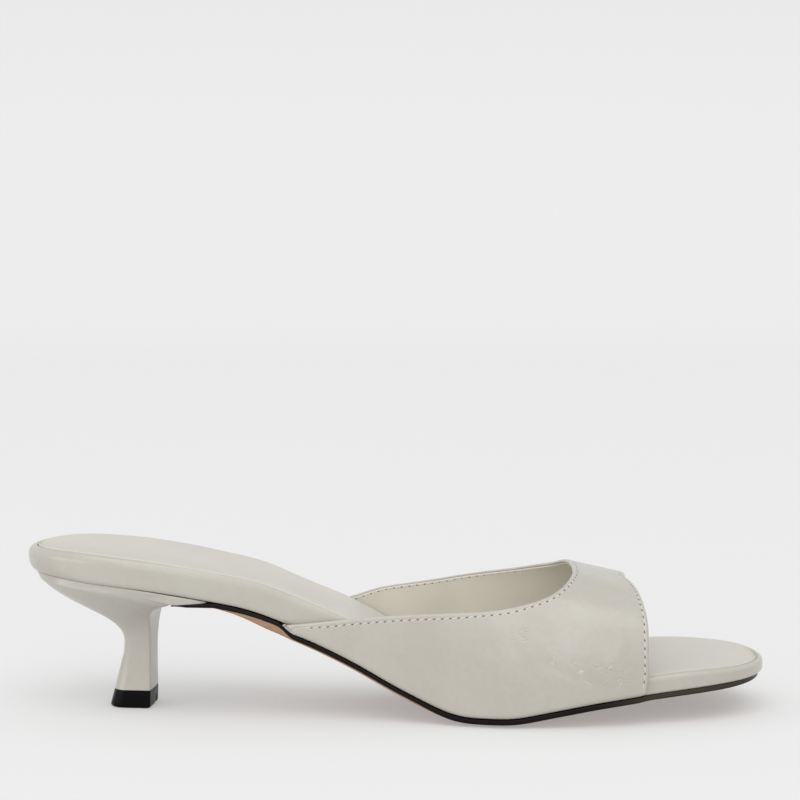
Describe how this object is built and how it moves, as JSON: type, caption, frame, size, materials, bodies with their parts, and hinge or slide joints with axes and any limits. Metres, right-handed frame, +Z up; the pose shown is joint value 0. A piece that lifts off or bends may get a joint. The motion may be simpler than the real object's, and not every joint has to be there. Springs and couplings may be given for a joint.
{
  "type": "kitten-heel mule sandal",
  "caption": "Right-foot slip-on mule with an open toe, a low curved heel, a hollow one-piece leather upper and a thin sole.",
  "frame": {"origin": "middle of the shoe's bounding box, on the floor", "axes": "+X towards the toe, -Y towards the outer side of the foot, +Z up from the floor"},
  "size_m": [0.246, 0.0797, 0.0553],
  "materials": {
    "upper_leather": "smooth off-white, soft gloss",
    "footbed_leather": "smooth off-white wrap, soft gloss",
    "sock_leather": "smooth off-white, nearly matt",
    "heel_leather": "smooth off-white cover, soft gloss",
    "sole_leather": "black painted edge over a tan underside",
    "top_piece_rubber": "black, moulded, satin gloss"
  },
  "bodies": {
    "root": {"upper": "upper_leather", "footbed": "footbed_leather", "insole": "sock_leather", "heel": "heel_leather", "outsole": "sole_leather", "top_piece": "top_piece_rubber"}
  },
  "joints": []
}
